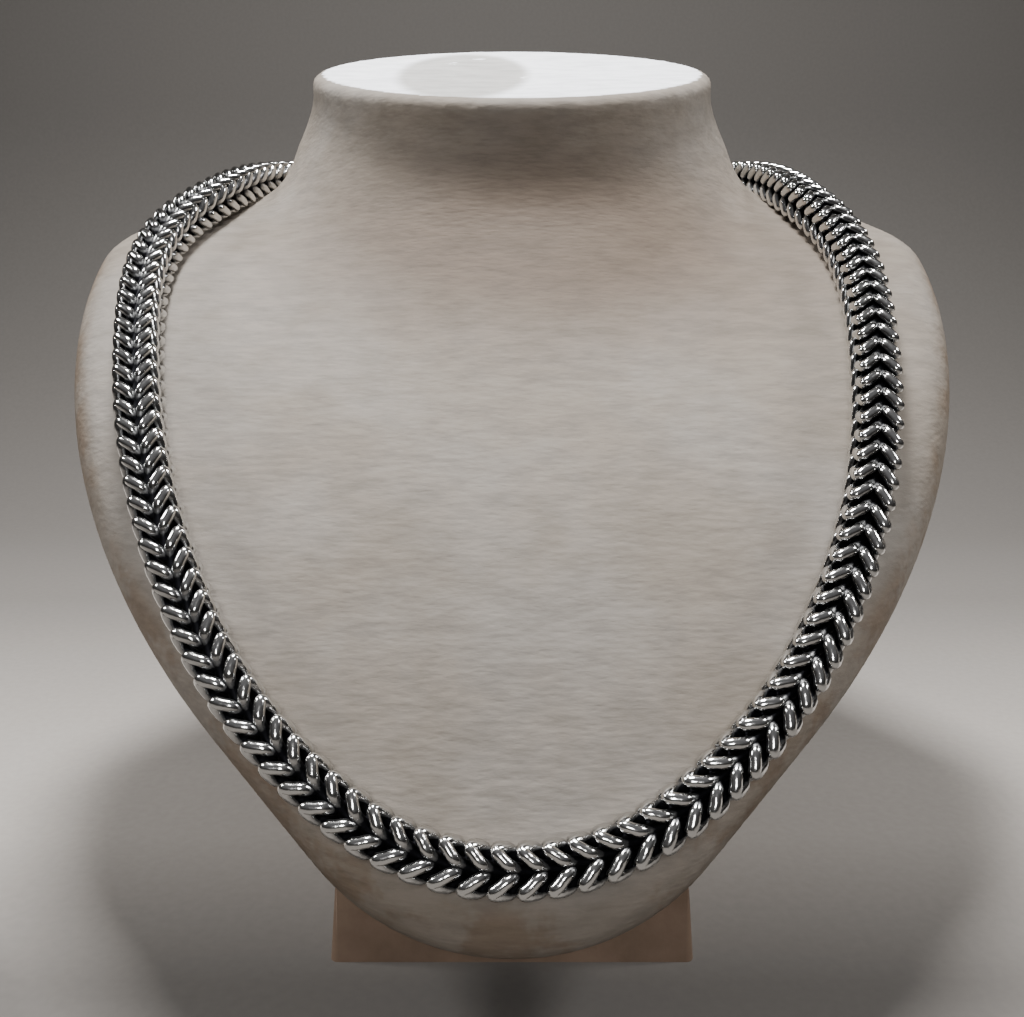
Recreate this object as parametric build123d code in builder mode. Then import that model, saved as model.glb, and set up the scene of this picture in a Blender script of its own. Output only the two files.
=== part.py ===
"""Foxtail chain necklace on a neck bust. Millimetres, +Z up, the front faces -Y."""

import os
from math import cos, degrees, pi, radians, sin, tan

from build123d import *

# Chest: a bent covered plate whose side view is a long arc from the tip, then a tighter one over the
# shoulders. The shoulder line is measured up the chest from the tip.
chest_radius = 240.0
shoulder_radius = 120.0
shoulder_line = 145.0
back_lean = 150.0
chest_thickness = 24.0
chest_edge_round = 11.0
tip_lean = 23.0
tip_height = 12.4

# Outline of the chest from the front, measured up the lean from the tip.
tip_round = 44.0
flank_angle = 47.0
flank_run = 28.5
chest_half_width = 95.5

# Outline of the shoulders from above, round the neck.
collar_radius = 70.0
shoulder_slope = 31.0
shoulder_round = 25.0

# Neck stub with its cap.
neck_lean = 70.2
neck_height = 24.3
neck_half_width = 50.5
neck_half_depth = 38.0
cap_round = 2.5

# Foot block behind the tip.
foot_half_width = 33.0
foot_setback = 15.4
foot_depth = 105.0
foot_draft = 5.0
foot_edge_round = 1.5

# Chain: half of its square section, the plain bar's radius and number of points, and its gap off the chest.
chain_half = 4.2
chain_radius = 4.0
chain_points = 48
seat_gap = 0.4

# Clasp behind the neck, with the length of the chain's loop that it takes up.
clasp_stretch = 34.0
clasp_bar = 5.0
cup_length = 8.0
cup_wall = 1.0
cup_clearance = 0.4
cup_edge_round = 0.6

# Where the chain lies: across, up the chest from the tip, and lifted off its seat.
chain_route = [
    (0.0, 241.6, 1.8),
    (-24.5, 237.2, 1.8),
    (-45.4, 224.6, 0.5),
    (-59.1, 206.4, 0.0),
    (-64.6, 189.8, 0.0),
    (-69.5, 170.3, 0.0),
    (-74.1, 154.0, 0.0),
    (-75.3, 136.0, 0.0),
    (-72.2, 114.2, 0.0),
    (-64.9, 85.1, 0.0),
    (-56.0, 62.5, 0.0),
    (-45.5, 44.3, 0.0),
    (-32.4, 29.8, 0.0),
    (-17.3, 19.5, 0.0),
    (0.0, 15.8, 0.0),
    (17.3, 19.5, 0.0),
    (32.4, 29.8, 0.0),
    (45.5, 44.3, 0.0),
    (56.0, 62.5, 0.0),
    (64.3, 85.1, 0.0),
    (69.5, 112.0, 0.0),
    (71.8, 135.0, 0.0),
    (70.8, 152.1, 0.0),
    (67.4, 169.5, 0.0),
    (64.2, 188.6, 0.0),
    (59.1, 206.4, 0.0),
    (45.4, 224.6, 0.5),
    (24.5, 237.2, 1.8),
]

seat_height = seat_gap + chain_half
inner_radius = chest_radius - chest_thickness
tip_mid_radius = chest_radius - chest_thickness / 2
axis_z = tip_height - tip_mid_radius * sin(radians(tip_lean))


def out_at(lean):
    """Direction out of the chest where it leans back by this many degrees."""
    return Vector(0, -cos(radians(lean)), sin(radians(lean)))


shoulder_lean = tip_lean + degrees(shoulder_line / chest_radius)
chest_axis = Vector(0, 0, axis_z)
shoulder_axis = chest_axis + out_at(shoulder_lean) * (chest_radius - shoulder_radius)


def chest_plane(lean, radius):
    """Plane facing out of the chest's long arc."""
    out = out_at(lean)
    return Plane(chest_axis + out * radius, x_dir=(1, 0, 0), z_dir=out)


neck_plane = chest_plane(neck_lean, chest_radius + neck_height)
tip_plane = chest_plane(tip_lean, tip_mid_radius)


def skin_points(depth):
    """Points of the chest's side view this far under its outer face."""
    places = []
    for part_way in range(7):
        lean = tip_lean - 12 + (shoulder_lean - tip_lean + 12) * part_way / 7
        places.append(chest_axis + out_at(lean) * (chest_radius - depth))
    for part_way in range(8):
        lean = shoulder_lean + (back_lean - shoulder_lean) * part_way / 7
        places.append(shoulder_axis + out_at(lean) * (shoulder_radius - depth))
    return [(p.Y, p.Z) for p in places]


def chest_band():
    """The plate's side view, drawn out to both sides past its final width."""
    with BuildPart() as band:
        with BuildSketch(Plane.YZ):
            with BuildLine():
                outside = Spline(*skin_points(0))
                inside = Spline(*skin_points(chest_thickness))
                Line(outside @ 0, inside @ 0)
                Line(outside @ 1, inside @ 1)
            make_face()
        extrude(amount=chest_half_width * 1.3, both=True)
    return band.part


def front_outline():
    """Prism through the chest: round tip, straight flanks, and sides that bend up to the full width."""
    angle = radians(flank_angle)
    turn = (angle + pi / 2) / 2
    x1 = tip_round * sin(angle)
    y1 = tip_round * (1 - cos(angle))
    x2 = x1 + flank_run * cos(angle)
    y2 = y1 + flank_run * sin(angle)
    side_radius = (chest_half_width - x2) / (1 - sin(angle))
    y3 = y2 + side_radius * cos(angle)
    xm = x2 + side_radius * (sin(turn) - sin(angle))
    ym = y2 + side_radius * (cos(angle) - cos(turn))
    top = 2 * chest_radius
    with BuildPart() as prism:
        with BuildSketch(tip_plane.offset(chest_thickness * 2)):
            with BuildLine():
                ThreePointArc((-x1, y1), (0, 0), (x1, y1))
                for side in (1, -1):
                    Line((side * x1, y1), (side * x2, y2))
                    ThreePointArc((side * x2, y2), (side * xm, ym), (side * chest_half_width, y3))
                    Line((side * chest_half_width, y3), (side * chest_half_width, top))
                Line((-chest_half_width, top), (chest_half_width, top))
            make_face()
        extrude(amount=-chest_radius - chest_thickness * 4)
    return prism.part


def top_outline():
    """Prism from above: round behind the neck, with shoulders that slope away from it."""
    slope = radians(shoulder_slope)
    near = Vector(collar_radius * cos(slope), collar_radius * sin(slope))
    side = near + Vector(chest_half_width - near.X, -(chest_half_width - near.X) / tan(slope))
    front = Vector(side.X, -chest_radius)
    right = [near, side, front]
    left = [Vector(-p.X, p.Y) for p in reversed(right)]
    with BuildPart() as prism:
        with BuildSketch(Plane.XY.offset(axis_z)):
            with BuildSketch(mode=Mode.PRIVATE) as shoulders:
                Polygon(*[(p.X, p.Y) for p in right + left], align=None)
                fillet(shoulders.vertices().filter_by(lambda v: abs(v.Y - side.Y) < 0.01), shoulder_round)
            with Locations((0, neck_plane.origin.Y)):
                add(shoulders.sketch)
                Circle(collar_radius)
        extrude(amount=chest_radius * 1.5)
    return prism.part


def neck_stub():
    rows = [
        # depth, across, along, shift
        (0.00, 1.00, 1.06, 0.06),
        (0.30, 0.99, 1.03, 0.03),
        (0.64, 1.06, 1.03, -0.07),
        (0.93, 1.13, 1.06, -0.24),
        (1.23, 1.21, 1.22, -0.44),
        (1.60, 1.32, 1.51, -0.72),
        (1.80, 1.37, 1.63, -0.84),
    ]
    with BuildPart() as stub:
        for depth, across, along, shift in rows:
            with BuildSketch(neck_plane.offset(-depth * neck_height)):
                with Locations((0, shift * neck_half_depth)):
                    Ellipse(across * neck_half_width, along * neck_half_depth)
        loft()
    return stub.part


def on_skin(edge):
    """Whether an edge runs along the chest's outer or inner face."""
    for axis, radius in ((chest_axis, chest_radius), (shoulder_axis, shoulder_radius)):
        reaches = [Vector(0, (edge @ u).Y - axis.Y, (edge @ u).Z - axis.Z).length for u in (0, 0.5, 1)]
        for skin in (radius, radius - chest_thickness):
            if all(abs(reach - skin) < 0.5 for reach in reaches):
                return True
    return False


with BuildPart() as neck_bust:
    add(chest_band())
    add(front_outline(), mode=Mode.INTERSECT)
    add(top_outline(), mode=Mode.INTERSECT)
    rims = neck_bust.edges().filter_by(on_skin).filter_by(GeomType.LINE, reverse=True)
    fillet(rims, chest_edge_round)
    add(neck_stub())
    cap_face = neck_bust.faces().sort_by(Axis(neck_plane.origin, neck_plane.z_dir))[-1]
    fillet(cap_face.edges(), cap_round)

with BuildPart() as bust_foot:
    with BuildSketch() as footprint:
        with Locations((0, tip_plane.origin.Y + foot_setback)):
            Rectangle(2 * foot_half_width, foot_depth, align=(Align.CENTER, Align.MIN))
        fillet(footprint.vertices(), foot_edge_round)
    extrude(amount=inner_radius + axis_z, taper=foot_draft)
    with BuildSketch(Plane.YZ):
        with BuildLine():
            under = Spline(*skin_points(chest_thickness + seat_gap))
            Polyline(under @ 0, ((under @ 0).X, -chest_radius), ((under @ 1).X, -chest_radius), under @ 1)
        make_face()
    extrude(amount=1.5 * foot_half_width, both=True, mode=Mode.INTERSECT)


# Chain: one bar along the route, made of straight runs joined by tangent arcs.
flat_route = Edge.make_spline([Vector(*row) for row in chain_route], periodic=True)
shoulder_up = radians(shoulder_lean - tip_lean) * (chest_radius + seat_height)


def route_plane(distance):
    """Plane across the chain at a distance along it, its X away from the chest and its Z along the chain."""
    place = flat_route.position_at(distance, position_mode=PositionMode.LENGTH)
    way = flat_route.tangent_at(distance, position_mode=PositionMode.LENGTH)
    if place.Y < shoulder_up:
        axis, radius, lean = chest_axis, chest_radius + seat_height, tip_lean
        lean += degrees(place.Y / radius)
    else:
        axis, radius, lean = shoulder_axis, shoulder_radius + seat_height, shoulder_lean
        lean += degrees((place.Y - shoulder_up) / radius)
    out = out_at(lean)
    up = Vector(0, sin(radians(lean)), cos(radians(lean)))
    along = Vector(way.X, 0, 0) + up * way.Y + out * way.Z
    origin = axis + Vector(place.X, 0, 0) + out * (radius + place.Z)
    return Plane(origin, x_dir=out - along * out.dot(along), z_dir=along)


chain_start = clasp_stretch / 2
chain_step = (flat_route.length - clasp_stretch) / (chain_points - 1)
chain_path = [route_plane(chain_start + i * chain_step).origin for i in range(chain_points)]
chain_bends = []
for before, corner, after in zip(chain_path, chain_path[1:], chain_path[2:]):
    turn = radians((corner - before).get_angle(after - corner))
    chain_bends.append(0.45 * min((corner - before).length, (after - corner).length) / tan(turn / 2))
print("smallest bend of the chain", round(min(chain_bends), 1))
with BuildPart() as foxtail_chain:
    with BuildLine() as chain_line:
        FilletPolyline(*chain_path, radius=chain_bends)
    with BuildSketch(Plane(chain_path[0], z_dir=chain_path[1] - chain_path[0])):
        Circle(chain_radius)
    sweep()

# Clasp: a plain round bar behind the neck with a square cup over each end of the chain.
cup_hollow = 2 * (chain_half + cup_clearance)
cup_outside = cup_hollow + 2 * cup_wall
cup_end = chain_start - cup_clearance - cup_wall
with BuildPart() as clasp:
    for distance, way in ((cup_end, 1), (flat_route.length - cup_end, -1)):
        with Locations(route_plane(distance + way * cup_length / 2).location):
            Box(cup_outside, cup_outside, cup_length)
    fillet(clasp.edges(), cup_edge_round)
    for distance, way in ((cup_end, 1), (flat_route.length - cup_end, -1)):
        with Locations(route_plane(distance + way * (cup_length / 2 + cup_wall)).location):
            Box(cup_hollow, cup_hollow, cup_length, mode=Mode.SUBTRACT)
    bar_ends = (cup_end + cup_wall / 2, 0, flat_route.length - cup_end - cup_wall / 2)
    with BuildLine() as bar:
        ThreePointArc(*[route_plane(distance).origin for distance in bar_ends])
    with BuildSketch(Plane(bar.line @ 0, z_dir=bar.line % 0)):
        Circle(clasp_bar / 2)
    sweep()

# The whole stands on Z = 0 with the middle of its box on the Z axis.
boxes = [piece.bounding_box() for piece in (neck_bust.part, bust_foot.part, clasp.part, foxtail_chain.part)]
front = min(box.min.Y for box in boxes)
back = max(box.max.Y for box in boxes)
shift = Location((0, -(front + back) / 2, 0))
pieces = {
    "neck_bust": neck_bust.part.moved(shift),
    "bust_foot": bust_foot.part.moved(shift),
    "clasp": clasp.part.moved(shift),
    "foxtail_chain": foxtail_chain.part.moved(shift),
}

os.makedirs("parts", exist_ok=True)
for name, piece in pieces.items():
    export_step(piece, f"parts/{name}.step")
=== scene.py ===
import math

import bmesh
import bpy
import numpy as np
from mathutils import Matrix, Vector


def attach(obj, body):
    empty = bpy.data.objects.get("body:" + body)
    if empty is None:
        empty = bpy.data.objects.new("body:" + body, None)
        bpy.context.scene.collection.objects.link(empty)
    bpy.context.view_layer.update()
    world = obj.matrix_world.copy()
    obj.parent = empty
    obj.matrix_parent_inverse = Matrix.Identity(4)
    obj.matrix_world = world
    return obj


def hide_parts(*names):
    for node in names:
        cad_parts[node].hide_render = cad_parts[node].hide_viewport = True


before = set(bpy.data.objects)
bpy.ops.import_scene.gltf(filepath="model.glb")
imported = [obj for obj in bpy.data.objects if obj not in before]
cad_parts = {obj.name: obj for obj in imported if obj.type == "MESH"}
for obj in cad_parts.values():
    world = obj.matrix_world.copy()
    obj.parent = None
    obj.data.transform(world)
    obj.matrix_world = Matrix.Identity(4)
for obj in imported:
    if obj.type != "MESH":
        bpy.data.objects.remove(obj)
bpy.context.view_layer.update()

# camera at the photo's height and tilt, lengths in metres
camera = {
    "place": (0.0, -0.2336, 0.118),
    "tilt": 78.0,            # degrees from looking straight down
    "lens": 35.16,           # mm
    "sensor": 36.0,          # mm
    "nearest": 0.01,
}

cam = bpy.data.objects.new("camera", bpy.data.cameras.new("camera"))
cam.location = camera["place"]
cam.rotation_euler = (math.radians(camera["tilt"]), 0.0, 0.0)
cam.data.lens = camera["lens"]
cam.data.sensor_width = camera["sensor"]
cam.data.clip_start = camera["nearest"]
bpy.context.collection.objects.link(cam)
bpy.context.scene.camera = cam
print("camera set")


def newMaterial(name):
    material = bpy.data.materials.new(name)
    material.use_nodes = True
    tree = material.node_tree
    return material, tree, tree.nodes["Principled BSDF"]


def addNode(tree, kind, **settings):
    node = tree.nodes.new(kind)
    for key, setting in settings.items():
        if hasattr(node, key):
            setattr(node, key, setting)
        else:
            node.inputs[key.replace("_", " ")].default_value = setting
    return node


# a socket takes a link, a colour or a plain number
def feed(tree, socket, given):
    if isinstance(given, bpy.types.NodeSocket):
        tree.links.new(given, socket)
    elif socket.type == "RGBA":
        socket.default_value = (*given, 1.0)
    else:
        socket.default_value = given


def ramp(tree, source, stops):
    node = addNode(tree, "ShaderNodeValToRGB")
    elements = node.color_ramp.elements
    while len(elements) < len(stops):
        elements.new(0.5)
    for element, (position, colour) in zip(elements, stops):
        element.position = position
        element.color = (*colour, 1.0) if isinstance(colour, tuple) else (colour, colour, colour, 1.0)
    feed(tree, node.inputs["Fac"], source)
    return node.outputs["Color"]


def mixColours(tree, factor, first, second, blend="MIX"):
    node = addNode(tree, "ShaderNodeMix", data_type="RGBA", blend_type=blend)
    for place, given in ((0, factor), (6, first), (7, second)):
        feed(tree, node.inputs[place], given)
    return node.outputs[2]


def mathNode(tree, operation, *numbers):
    node = addNode(tree, "ShaderNodeMath", operation=operation)
    for socket, given in zip(node.inputs, numbers):
        feed(tree, socket, given)
    return node.outputs["Value"]


def vectorNode(tree, operation, *vectors):
    node = addNode(tree, "ShaderNodeVectorMath", operation=operation)
    for socket, given in zip(node.inputs, vectors):
        feed(tree, socket, given)
    return node.outputs


def fade(tree, source, start, end):
    node = addNode(tree, "ShaderNodeMapRange", interpolation_type="SMOOTHSTEP", From_Min=start, From_Max=end)
    feed(tree, node.inputs["Value"], source)
    return node.outputs["Result"]


# one inside the first reach from the centre, none outside the second
def near(tree, place, centre, stretch, reach):
    away = vectorNode(tree, "SUBTRACT", place, centre)["Vector"]
    scaled = vectorNode(tree, "MULTIPLY", away, stretch)["Vector"]
    inner, outer = reach
    return fade(tree, vectorNode(tree, "LENGTH", scaled)["Value"], outer, inner)


def noise(tree, place, scale, detail, roughness):
    node = addNode(tree, "ShaderNodeTexNoise", Scale=scale, Detail=detail, Roughness=roughness)
    feed(tree, node.inputs["Vector"], place)
    return node.outputs["Fac"]


def splitVector(tree, vector):
    node = addNode(tree, "ShaderNodeSeparateXYZ")
    feed(tree, node.inputs[0], vector)
    return node.outputs


def bump(tree, height, depth, strength, under=None):
    node = addNode(tree, "ShaderNodeBump", Distance=depth, Strength=strength)
    feed(tree, node.inputs["Height"], height)
    if under is not None:
        feed(tree, node.inputs["Normal"], under)
    return node.outputs["Normal"]


# leatherette on the bust, lengths in metres
cover = {
    "ivory": (0.258, 0.234, 0.207),
    "cloud": (0.230, 0.200, 0.167),
    "cloudEdge": (0.66, 0.38),
    "patches": {"scale": 26.0, "detail": 5.0, "roughness": 0.6},
    # brown tint with painted shade for the neck's front and root
    "neckTintAndShade": (0.130, 0.100, 0.077),
    "neckShadePlace": (0.010, -0.018, 0.132),
    "neckShadeStretch": (0.7, 0.8, 1.8),
    "neckShadeReach": (0.015, 0.066),
    # painted shade along the chest's rim, brown, where the skin turns sideways or down
    "rimPaintedShade": (0.20, 0.160, 0.122),
    "rimShare": 0.35,
    "rimTurn": (0.42, 0.80),         # how far the skin faces sideways
    "underTurn": (0.44, 0.02),       # how far it still faces up
    "rimHeight": (0.140, 0.118),
    # deeper painted shade in blotches inside the rim's shade
    "rimShadeBlotch": (0.15, 0.10, 0.062),
    "rimShadeBlotchShare": 0.55,
    "blots": {"scale": 70.0, "detail": 4.0, "roughness": 0.7},
    "rimShadeBlotchEdge": (0.42, 0.60),
    "grainStretch": (0.4, 1.0, 1.4),
    "grainScale": 900.0,
    "grainDepth": 0.00010,
    "wrinkles": {"scale": 300.0, "detail": 7.0, "roughness": 0.66},
    "wrinkleDepth": 0.00022,
    # painted shade, darker in the wrinkles' hollows
    "wrinkleHollowShade": ((0.34, 0.80), (0.60, 1.00)),
    "bumpStrength": 0.8,
    "roughness": 0.65,
    "specular": 0.12,
}
# bare, pale top of the cap, made near white with painted light from above; its grey patch and its worn front
# edge
cap = {
    "paleLitTop": (0.93, 0.94, 0.97),
    "facing": (0.90, 0.94),
    "height": (0.150, 0.156),
    "greyPatch": (0.46, 0.45, 0.43),
    "greyPatchPlace": (-0.012, 0.030, 0.172),
    "greyPatchStretch": (1.0, 0.40, 0.8),
    "greyPatchReach": (0.014, 0.018),
    "greyPatchEdge": (0.30, 0.36),
    "worn": (0.80, 0.74, 0.62),
    "wornPlace": (-0.031, -0.012, 0.166),
    "wornStretch": (0.45, 1.0, 1.3),
    "wornReach": (0.004, 0.008),
    "wornEdge": (0.50, 0.54),
}


def chestColour(tree, place, height, facing, blots):
    patches = noise(tree, place, **cover["patches"])
    base = mixColours(tree, fade(tree, patches, *cover["cloudEdge"]), cover["ivory"], cover["cloud"])
    # brown tint with painted shade on the front and root of the neck, below the cap
    front = near(tree, place, cover["neckShadePlace"], cover["neckShadeStretch"], cover["neckShadeReach"])
    base = mixColours(tree, front, base, cover["neckTintAndShade"])
    # painted shade, brown, where the chest's rim turns sideways or down, deeper in blotches
    sideways = fade(tree, mathNode(tree, "ABSOLUTE", facing["X"]), *cover["rimTurn"])
    under = fade(tree, facing["Z"], *cover["underTurn"])
    low = fade(tree, height, *cover["rimHeight"])
    rim = mathNode(tree, "MULTIPLY", mathNode(tree, "MAXIMUM", sideways, under), low)
    shadeBlotches = mathNode(tree, "MULTIPLY", rim, fade(tree, blots, *cover["rimShadeBlotchEdge"]))
    base = mixColours(tree, mathNode(tree, "MULTIPLY", rim, cover["rimShare"]), base, cover["rimPaintedShade"])
    return mixColours(tree, mathNode(tree, "MULTIPLY", shadeBlotches, cover["rimShadeBlotchShare"]), base, cover["rimShadeBlotch"])


def capColour(tree, base, place, height, facing, blots):
    # painted light from above on the cap's flat, pale top that faces up
    level = fade(tree, facing["Z"], *cap["facing"])
    paleLitTopMask = mathNode(tree, "MULTIPLY", level, fade(tree, height, *cap["height"]))
    patch = near(tree, place, cap["greyPatchPlace"], cap["greyPatchStretch"], cap["greyPatchReach"])
    greyPatch = mathNode(tree, "MULTIPLY", patch, fade(tree, blots, *cap["greyPatchEdge"]))
    base = mixColours(tree, paleLitTopMask, base, mixColours(tree, greyPatch, cap["paleLitTop"], cap["greyPatch"]))
    front = near(tree, place, cap["wornPlace"], cap["wornStretch"], cap["wornReach"])
    chips = mathNode(tree, "MULTIPLY", front, fade(tree, blots, *cap["wornEdge"]))
    return mixColours(tree, chips, base, cap["worn"])


def leatherette():
    material, tree, shader = newMaterial("leatherette")
    coords = addNode(tree, "ShaderNodeTexCoord")
    place = coords.outputs["Object"]
    height = splitVector(tree, place)["Z"]
    facing = splitVector(tree, coords.outputs["Normal"])
    blots = noise(tree, place, **cover["blots"])
    base = chestColour(tree, place, height, facing, blots)
    base = capColour(tree, base, place, height, facing, blots)
    # pebble grain and wrinkles, both longer across the chest
    stretch = addNode(tree, "ShaderNodeMapping", Scale=cover["grainStretch"])
    feed(tree, stretch.inputs["Vector"], place)
    wrinkles = noise(tree, stretch.outputs["Vector"], **cover["wrinkles"])
    pebbles = addNode(tree, "ShaderNodeTexVoronoi", feature="SMOOTH_F1", Scale=cover["grainScale"])
    feed(tree, pebbles.inputs["Vector"], stretch.outputs["Vector"])
    # painted shade: the colour darkens where the wrinkles' bump lies low
    hollowShade = ramp(tree, wrinkles, cover["wrinkleHollowShade"])
    feed(tree, shader.inputs["Base Color"], mixColours(tree, 1.0, base, hollowShade, "MULTIPLY"))
    shader.inputs["Roughness"].default_value = cover["roughness"]
    shader.inputs["Specular IOR Level"].default_value = cover["specular"]
    wrinkled = bump(tree, wrinkles, cover["wrinkleDepth"], cover["bumpStrength"])
    feed(tree, shader.inputs["Normal"],
         bump(tree, pebbles.outputs["Distance"], cover["grainDepth"], cover["bumpStrength"], wrinkled))
    return material


# covered board of the foot
board = {
    "tan": (0.20, 0.135, 0.093),
    "dark": (0.135, 0.087, 0.058),
    "edge": (0.32, 0.62),
    "clouds": {"scale": 60.0, "detail": 6.0, "roughness": 0.62},
    "grain": {"scale": 900.0, "detail": 3.0, "roughness": 0.6},
    "grainDepth": 0.0001,
    "bumpStrength": 0.6,
    "roughness": 0.7,
}


def footCover():
    material, tree, shader = newMaterial("foot_cover")
    place = addNode(tree, "ShaderNodeTexCoord").outputs["Object"]
    clouds = noise(tree, place, **board["clouds"])
    grain = noise(tree, place, **board["grain"])
    stops = tuple(zip(board["edge"], (board["dark"], board["tan"])))
    feed(tree, shader.inputs["Base Color"], ramp(tree, clouds, stops))
    shader.inputs["Roughness"].default_value = board["roughness"]
    feed(tree, shader.inputs["Normal"], bump(tree, grain, board["grainDepth"], board["bumpStrength"]))
    return material


# silver, polished on the crests and blackened in the recesses, lengths in metres
silver = {
    "bright": (0.74, 0.73, 0.71),
    "grey": (0.30, 0.30, 0.30),
    "black": (0.010, 0.010, 0.012),
    "tones": (0.30, 0.40, 0.53),     # where black, grey and bright lie
    "polish": 0.15,
    "dull": 0.55,
    "polishEdge": (0.32, 0.43),
    "depth": 0.5,            # taken off the share of the chain's half width that colours a point
    "sway": 0.12,            # how far specks move the edge of the black
    "specks": {"scale": 1500.0, "detail": 4.0, "roughness": 0.65},
    "scratches": {"depth": 0.00003, "strength": 0.5},
    "waves": {"scale": 420.0, "detail": 2.0, "roughness": 0.5},
    "dents": {"depth": 0.00022, "strength": 0.7},
}
# the clasp's plain silver
plain = {
    "grey": (0.45, 0.44, 0.43),
    "clouds": {"scale": 160.0, "detail": 5.0, "roughness": 0.5},
    "tones": (0.30, 0.60),
    "polishStops": ((0.30, 0.34), (0.70, 0.14)),
}


def oxidisedSilver():
    material, tree, shader = newMaterial("oxidised_silver")
    crest = addNode(tree, "ShaderNodeAttribute", attribute_name="crest").outputs["Fac"]
    place = addNode(tree, "ShaderNodeTexCoord").outputs["Object"]
    specks = noise(tree, place, **silver["specks"])
    waves = noise(tree, place, **silver["waves"])
    height = mathNode(tree, "SUBTRACT", mathNode(tree, "MULTIPLY_ADD", specks, silver["sway"], crest),
                      silver["depth"])
    stops = tuple(zip(silver["tones"], (silver["black"], silver["grey"], silver["bright"])))
    feed(tree, shader.inputs["Base Color"], ramp(tree, height, stops))
    shine = tuple(zip(silver["polishEdge"], (silver["dull"], silver["polish"])))
    feed(tree, shader.inputs["Roughness"], ramp(tree, height, shine))
    shader.inputs["Metallic"].default_value = 1.0
    scratched = bump(tree, specks, **silver["scratches"])
    feed(tree, shader.inputs["Normal"], bump(tree, waves, **silver["dents"], under=scratched))
    return material


def plainSilver():
    material, tree, shader = newMaterial("plain_silver")
    place = addNode(tree, "ShaderNodeTexCoord").outputs["Object"]
    clouds = noise(tree, place, **plain["clouds"])
    stops = tuple(zip(plain["tones"], (plain["grey"], silver["bright"])))
    feed(tree, shader.inputs["Base Color"], ramp(tree, clouds, stops))
    feed(tree, shader.inputs["Roughness"], ramp(tree, clouds, plain["polishStops"]))
    shader.inputs["Metallic"].default_value = 1.0
    return material


millimetre = 0.001

# chest and route as in the CAD source, in millimetres until the chain is placed
chest = {
    "radius": 240.0,
    "shoulderRadius": 120.0,
    "shoulderLine": 145.0,   # up the chest from the tip
    "tipLean": 23.0,         # degrees
    "axis": (0.0, 120.93, -76.69),
}
# across, up the chest from the tip, lifted off its seat
chainRoute = [
    (0.0, 241.6, 1.8), (-24.5, 237.2, 1.8), (-45.4, 224.6, 0.5), (-59.1, 206.4, 0.0),
    (-64.6, 189.8, 0.0), (-69.5, 170.3, 0.0), (-74.1, 154.0, 0.0), (-75.3, 136.0, 0.0),
    (-72.2, 114.2, 0.0), (-64.9, 85.1, 0.0), (-56.0, 62.5, 0.0), (-45.5, 44.3, 0.0),
    (-32.4, 29.8, 0.0), (-17.3, 19.5, 0.0), (0.0, 15.8, 0.0), (17.3, 19.5, 0.0),
    (32.4, 29.8, 0.0), (45.5, 44.3, 0.0), (56.0, 62.5, 0.0), (64.3, 85.1, 0.0),
    (69.5, 112.0, 0.0), (71.8, 135.0, 0.0), (70.8, 152.1, 0.0), (67.4, 169.5, 0.0),
    (64.2, 188.6, 0.0), (59.1, 206.4, 0.0), (45.4, 224.6, 0.5), (24.5, 237.2, 1.8),
]
# links: two sets of folded wires, each set leaning the other way across the chain
chain = {
    "half": 4.2,
    "seat": 4.6,             # from the chest's skin to the chain's middle
    "clasp": 34.0,           # length of the loop without links
    "wireRadius": 1.00,
    "sides": 12,
    "steps": 3,              # rings of wire from one row of a link to the next
    "routeSteps": 60,
    "pitch": 4.2,
    "foldA": 1.02,           # how far forward each set's wire folds inside the chain, in pitches
    "foldB": 1.90,
}
# half a link: out of the chest, sideways, and forward along the chain in pitches
linkRows = [
    (2.95, 2.95, 0.00),
    (3.20, 2.45, 0.14),
    (3.22, 1.78, 0.32),
    (3.15, 1.15, 0.50),
    (2.60, 0.74, 0.68),
    (0.93, -0.93, None),     # the fold
    (-0.74, -2.60, 0.68),
    (-1.15, -3.15, 0.50),
    (-1.78, -3.22, 0.32),
    (-2.45, -3.20, 0.14),
]


# a closed curve through the points, without corners
def smoothLoop(points, steps):
    ahead = np.roll(points, -1, axis=0) - points
    chord = np.linalg.norm(ahead, axis=1)
    count = len(points)
    system = np.zeros((count, count))
    right = np.zeros((count, 3))
    for i in range(count):
        past, coming = chord[i - 1], chord[i]
        system[i, i - 1] += coming
        system[i, i] += 2 * (past + coming)
        system[i, (i + 1) % count] += past
        right[i] = 3 * (coming * ahead[i - 1] / past + past * ahead[i] / coming)
    slopes = np.linalg.solve(system, right)
    u = np.linspace(0, 1, steps, endpoint=False)[:, None]
    return np.concatenate([
        (2 * u**3 - 3 * u**2 + 1) * points[i] + (u**3 - 2 * u**2 + u) * chord[i] * slopes[i]
        + (3 * u**2 - 2 * u**3) * points[(i + 1) % count]
        + (u**3 - u**2) * chord[i] * slopes[(i + 1) % count]
        for i in range(count)
    ])


def unit(vectors):
    return vectors / np.linalg.norm(vectors, axis=-1, keepdims=True)


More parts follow.
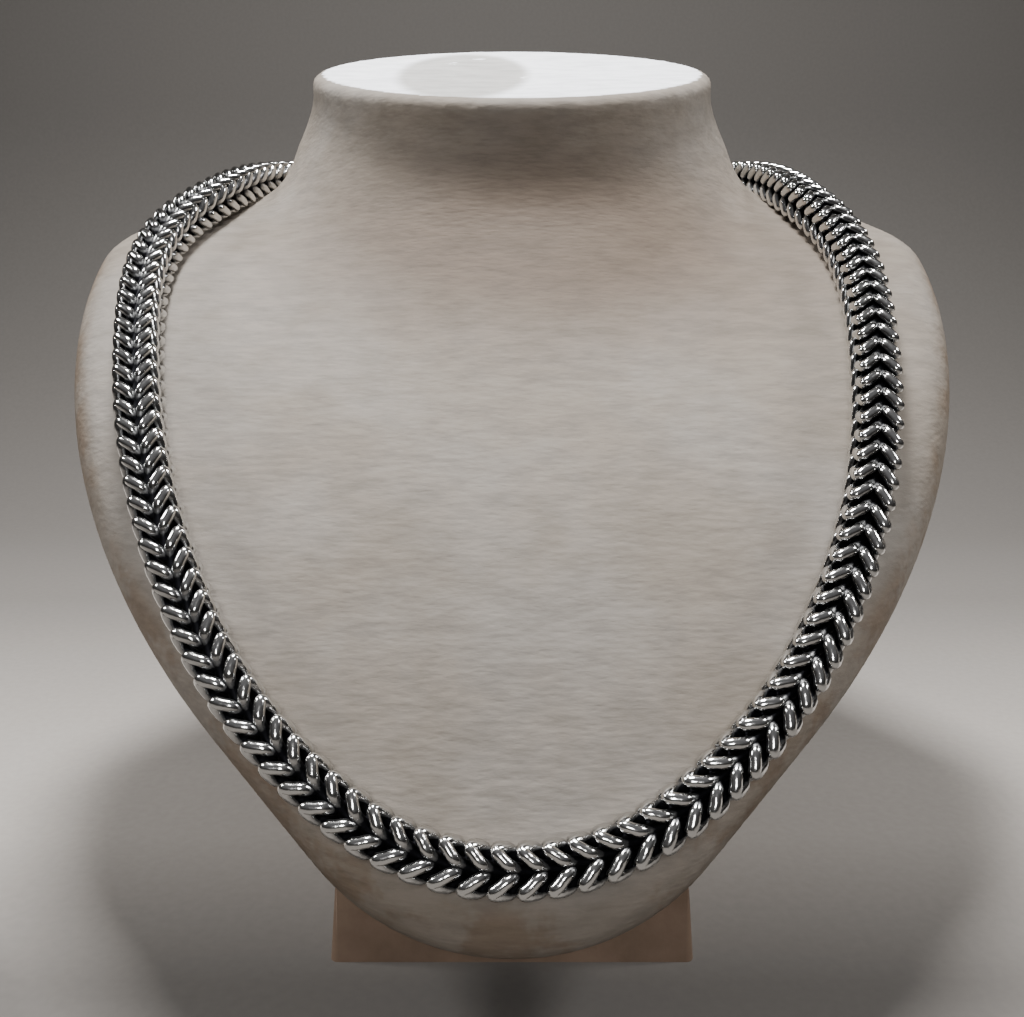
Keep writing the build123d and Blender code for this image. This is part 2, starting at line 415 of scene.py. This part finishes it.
# one link's wire: out of the chest, sideways and forward, ring by ring
def wireRings(mirror, fold):
    half = [(out, mirror * side, (fold if forward is None else forward) * chain["pitch"])
            for out, side, forward in linkRows]
    otherHalf = [(-out, -side, forward) for out, side, forward in half]
    loop = smoothLoop(np.array(half + otherHalf), chain["steps"])
    way = unit(np.roll(loop, -1, axis=0) - np.roll(loop, 1, axis=0))
    # each ring's first side points away from the chain's middle, as nearly as the wire allows
    outward = loop * (1, 1, 0) + (0, 0, 0.001)
    first = outward - way * np.sum(outward * way, axis=1)[:, None]
    for i in range(1, len(first)):
        first[i] = unit(first[i - 1] - way[i] * np.dot(first[i - 1], way[i]))
    first[0] = unit(first[0])
    second = np.cross(way, first)
    # what the sides have turned after one round is spread over the rings
    closing = first[-1] - way[0] * np.dot(first[-1], way[0])
    twist = math.atan2(np.dot(closing, second[0]), np.dot(closing, first[0]))
    rings = []
    for i in range(len(loop)):
        spread = (np.arange(chain["sides"]) * 2 * np.pi / chain["sides"] - twist * i / len(loop))[:, None]
        rings.append(loop[i] + chain["wireRadius"] * (np.cos(spread) * first[i] + np.sin(spread) * second[i]))
    return np.concatenate(rings), len(loop)


# the route in space: length so far, place, direction out of the chest and sideways
def routeTable():
    path = smoothLoop(np.array(chainRoute), chain["routeSteps"])
    path = np.concatenate([path, path[:1]])
    length = np.concatenate([[0], np.cumsum(np.linalg.norm(np.diff(path, axis=0), axis=1))])
    way = np.gradient(path, length, axis=0)
    tipLean = math.radians(chest["tipLean"])
    lean = tipLean + chest["shoulderLine"] / chest["radius"]
    shoulderUp = (chest["radius"] + chain["seat"]) * chest["shoulderLine"] / chest["radius"]
    over = path[:, 1] > shoulderUp
    radius = np.where(over, chest["shoulderRadius"], chest["radius"]) + chain["seat"]
    angle = np.where(over, lean + (path[:, 1] - shoulderUp) / radius, tipLean + path[:, 1] / radius)
    zero = np.zeros(len(path))
    out = np.stack([zero, -np.cos(angle), np.sin(angle)], axis=1)
    up = np.stack([zero, np.sin(angle), np.cos(angle)], axis=1)
    raised = chest["radius"] - chest["shoulderRadius"]
    axis = np.array(chest["axis"]) + over[:, None] * raised * np.array((0, -math.cos(lean), math.sin(lean)))
    place = axis + out * (radius + path[:, 2])[:, None]
    place[:, 0] += path[:, 0]
    along = unit(np.stack([way[:, 0], zero, zero], axis=1) + up * way[:, 1:2] + out * way[:, 2:3])
    out = unit(out - along * np.sum(out * along, axis=1)[:, None])
    return length, place, out, np.cross(along, out)


# every link's points on the route, in millimetres
def linkPoints(rings):
    length, place, out, side = routeTable()
    reach = length[-1] - chain["clasp"] - 2 * chain["wireRadius"] - chain["foldB"] * chain["pitch"]
    links = int(reach / chain["pitch"]) + 1
    begin = chain["clasp"] / 2 + chain["wireRadius"]
    distance = (begin + np.arange(links) * reach / (links - 1))[:, None] + rings[None, :, 2]
    middle, outward, sideways = [
        np.stack([np.interp(distance, length, table[:, k]) for k in range(3)], axis=-1)
        for table in (place, out, side)
    ]
    return middle + outward * rings[None, :, 0:1] + sideways * rings[None, :, 1:2]


# four-sided faces between the rings of every link
def linkFaces(links, count):
    sides = chain["sides"]
    ring, spoke = np.meshgrid(np.arange(count), np.arange(sides), indexing="ij")
    nextRing = (ring + 1) % count * sides
    nextSpoke = (spoke + 1) % sides
    quads = np.stack([ring * sides + spoke, ring * sides + nextSpoke, nextRing + nextSpoke, nextRing + spoke],
                     axis=-1).reshape(-1, 4)
    return (quads[None] + np.arange(links)[:, None, None] * count * sides).reshape(-1, 4)


def silverLinks(name, mirror, fold, material):
    rings, count = wireRings(mirror, fold)
    points = linkPoints(rings)
    links = len(points)
    mesh = bpy.data.meshes.new(name)
    mesh.from_pydata(points.reshape(-1, 3) * millimetre, [], linkFaces(links, count))
    # share of the chain's half width, rounded towards its corners, for the silver's colours
    crest = mesh.attributes.new("crest", "FLOAT", "POINT")
    crest.data.foreach_set("value", np.tile(np.sum(rings[:, :2]**4, axis=1)**0.25 / chain["half"], links))
    bm = bmesh.new()
    bm.from_mesh(mesh)
    for face in bm.faces:
        face.smooth = True
    bmesh.ops.recalc_face_normals(bm, faces=bm.faces)
    bm.to_mesh(mesh)
    bm.free()
    piece = bpy.data.objects.new(name, mesh)
    bpy.context.collection.objects.link(piece)
    mesh.materials.append(material)
    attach(piece, "root")
    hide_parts("foxtail_chain")
    print(name, "made,", links, "links,", len(mesh.polygons), "faces")


silverMaterial = oxidisedSilver()
silverLinks("silver_links_a", 1, chain["foldA"], silverMaterial)
silverLinks("silver_links_b", -1, chain["foldB"], silverMaterial)


# bust: the CAD shape with the neck's root smoothed into the chest, in metres
bust = {
    "voxel": 0.0014,
    "merge": 1e-6,
    "passes": 90,
    "pull": 0.6,             # how far a pass moves a point towards its neighbours' middle
    "rootCentre": 0.020,     # middle of the neck's root in Y
    "rootHalf": (0.066, 0.064),
    "ring": (0.50, 0.66, 1.04, 1.16),    # shares of rootHalf where smoothing starts, is full, fades and ends
    "top": (0.146, 0.156),   # heights where it fades below the cap
}


def softStep(start, end, numbers):
    t = np.clip((numbers - start) / (end - start), 0.0, 1.0)
    return t * t * (3 - 2 * t)


# the CAD node's triangles merged and made an even mesh
def evenBust():
    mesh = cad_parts["neck_bust"].data.copy()
    bm = bmesh.new()
    bm.from_mesh(mesh)
    bmesh.ops.remove_doubles(bm, verts=bm.verts, dist=bust["merge"])
    bm.to_mesh(mesh)
    bm.free()
    holder = bpy.data.objects.new("bust_source", mesh)
    bpy.context.collection.objects.link(holder)
    remesh = holder.modifiers.new("remesh", "REMESH")
    remesh.mode = "VOXEL"
    remesh.voxel_size = bust["voxel"]
    dense = bpy.data.meshes.new_from_object(holder.evaluated_get(bpy.context.evaluated_depsgraph_get()))
    bpy.data.objects.remove(holder)
    dense.name = "covered_bust"
    return dense


def smoothRoot(mesh):
    count = len(mesh.vertices)
    place = np.zeros(count * 3)
    mesh.vertices.foreach_get("co", place)
    place = place.reshape(-1, 3)
    pairs = np.zeros(len(mesh.edges) * 2, dtype=np.int64)
    mesh.edges.foreach_get("vertices", pairs)
    first, second = pairs.reshape(-1, 2).T
    joined = np.bincount(first, minlength=count) + np.bincount(second, minlength=count)
    across, along = bust["rootHalf"]
    reach = np.hypot(place[:, 0] / across, (place[:, 1] - bust["rootCentre"]) / along)
    inner, full, fading, outer = bust["ring"]
    weight = softStep(inner, full, reach) * (1 - softStep(fading, outer, reach))
    weight *= 1 - softStep(*bust["top"], place[:, 2])
    for step in range(bust["passes"]):
        for axis in range(3):
            total = (np.bincount(first, place[second, axis], minlength=count)
                     + np.bincount(second, place[first, axis], minlength=count))
            place[:, axis] += bust["pull"] * weight * (total / joined - place[:, axis])
    mesh.vertices.foreach_set("co", place.reshape(-1))


def coveredBust(material):
    mesh = evenBust()
    smoothRoot(mesh)
    mesh.polygons.foreach_set("use_smooth", np.ones(len(mesh.polygons), dtype=bool))
    mesh.update()
    mesh.materials.clear()
    mesh.materials.append(material)
    piece = bpy.data.objects.new("covered_bust", mesh)
    bpy.context.collection.objects.link(piece)
    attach(piece, "root")
    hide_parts("neck_bust")
    print("bust made,", len(mesh.polygons), "faces")


def dressNode(name, material):
    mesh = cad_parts[name].data
    mesh.materials.clear()
    mesh.materials.append(material)


coveredBust(leatherette())
dressNode("bust_foot", footCover())
dressNode("clasp", plainSilver())
print("materials set")

# table and backdrop in one bent sheet, lengths in metres
stage = {
    "table": (0.38, 0.35, 0.32),
    # how far back plus how high, with 0.2 m added, and the share of the table's tone there: painted shade in
    # front of the bust, a painted pool of light around it and darker up the backdrop
    "paintedLightAndShade": ((0.12, 0.34), (0.17, 0.95), (0.20, 1.0), (0.35, 0.48), (0.70, 0.31), (0.94, 0.23)),
    "shadeShift": 0.2,
    "threads": ((0.3, 0.92), (0.7, 1.0)),
    "weave": {"scale": 500.0, "detail": 4.0, "roughness": 0.5},
    "roughness": 0.9,
    "width": 2.4,
    "wallDistance": 0.5,
    "wallHeight": 1.2,
    "bend": 0.25,
    "bendSegments": 16,
}


def tableCloth():
    material, tree, shader = newMaterial("table_cloth")
    place = addNode(tree, "ShaderNodeTexCoord").outputs["Object"]
    parts = splitVector(tree, place)
    # painted light and shade on the table and backdrop
    far = mathNode(tree, "ADD", mathNode(tree, "ADD", parts["Y"], parts["Z"]), stage["shadeShift"])
    paintedLightAndShade = tuple((where, tuple(share * c for c in stage["table"])) for where, share in stage["paintedLightAndShade"])
    tone = ramp(tree, far, paintedLightAndShade)
    threads = ramp(tree, noise(tree, place, **stage["weave"]), stage["threads"])
    feed(tree, shader.inputs["Base Color"], mixColours(tree, 1.0, tone, threads, "MULTIPLY"))
    shader.inputs["Roughness"].default_value = stage["roughness"]
    return material


def table():
    wall = stage["wallDistance"]
    mesh = bpy.data.meshes.new("table")
    bm = bmesh.new()
    bmesh.ops.create_grid(bm, x_segments=1, y_segments=1, size=stage["width"] / 2)
    far = [e for e in bm.edges if all(v.co.y > 0 for v in e.verts)]
    for vert in far[0].verts:
        vert.co.y = wall
    raised = bmesh.ops.extrude_edge_only(bm, edges=far)["geom"]
    top = [v for v in raised if isinstance(v, bmesh.types.BMVert)]
    bmesh.ops.translate(bm, verts=top, vec=(0, 0, stage["wallHeight"]))
    corner = [e for e in bm.edges if all(abs(v.co.y - wall) < 1e-6 and v.co.z < 1e-6 for v in e.verts)]
    bmesh.ops.bevel(bm, geom=corner, offset=stage["bend"], segments=stage["bendSegments"], affect="EDGES",
                    profile=0.5, material=-1)
    bmesh.ops.recalc_face_normals(bm, faces=bm.faces)
    for face in bm.faces:
        face.smooth = True
    bm.to_mesh(mesh)
    bm.free()
    floor = bpy.data.objects.new("table", mesh)
    bpy.context.collection.objects.link(floor)
    mesh.materials.append(tableCloth())


table()
print("table set")

# soft square lights: places, aims and sizes in metres
lights = {
    "top": {"place": (-0.03, 0.02, 0.62), "aim": (0.0, -0.02, 0.08), "size": 0.12, "watts": 6.8},
    "left": {"place": (-0.50, -0.02, 0.48), "aim": (0.0, -0.05, 0.08), "size": 0.12, "watts": 2.4},
    "right": {"place": (0.50, -0.02, 0.48), "aim": (0.0, -0.05, 0.08), "size": 0.12, "watts": 2.4},
    "front": {"place": (0.0, -0.70, 0.40), "aim": (0.0, -0.05, 0.10), "size": 0.15, "watts": 2.3},
}
for name, light in lights.items():
    data = bpy.data.lights.new("light_" + name, "AREA")
    data.size = light["size"]
    data.energy = light["watts"]
    lamp = bpy.data.objects.new("light_" + name, data)
    lamp.location = light["place"]
    lamp.rotation_euler = (Vector(light["aim"]) - Vector(light["place"])).to_track_quat("-Z", "Y").to_euler()
    bpy.context.collection.objects.link(lamp)

# the room, paler above and behind than in front of the chest
room = {
    "low": (0.055, 0.052, 0.05),
    "high": (0.24, 0.24, 0.25),
    "heights": (0.0, 0.9),
    "strength": 0.5,
}
world = bpy.data.worlds.new("room")
bpy.context.scene.world = world
world.use_nodes = True
sky = world.node_tree
upward = splitVector(sky, addNode(sky, "ShaderNodeTexCoord").outputs["Generated"])["Z"]
skyTone = ramp(sky, fade(sky, upward, *room["heights"]), ((0.0, room["low"]), (1.0, room["high"])))
feed(sky, sky.nodes["Background"].inputs["Color"], skyTone)
sky.nodes["Background"].inputs["Strength"].default_value = room["strength"]
print("lights set")
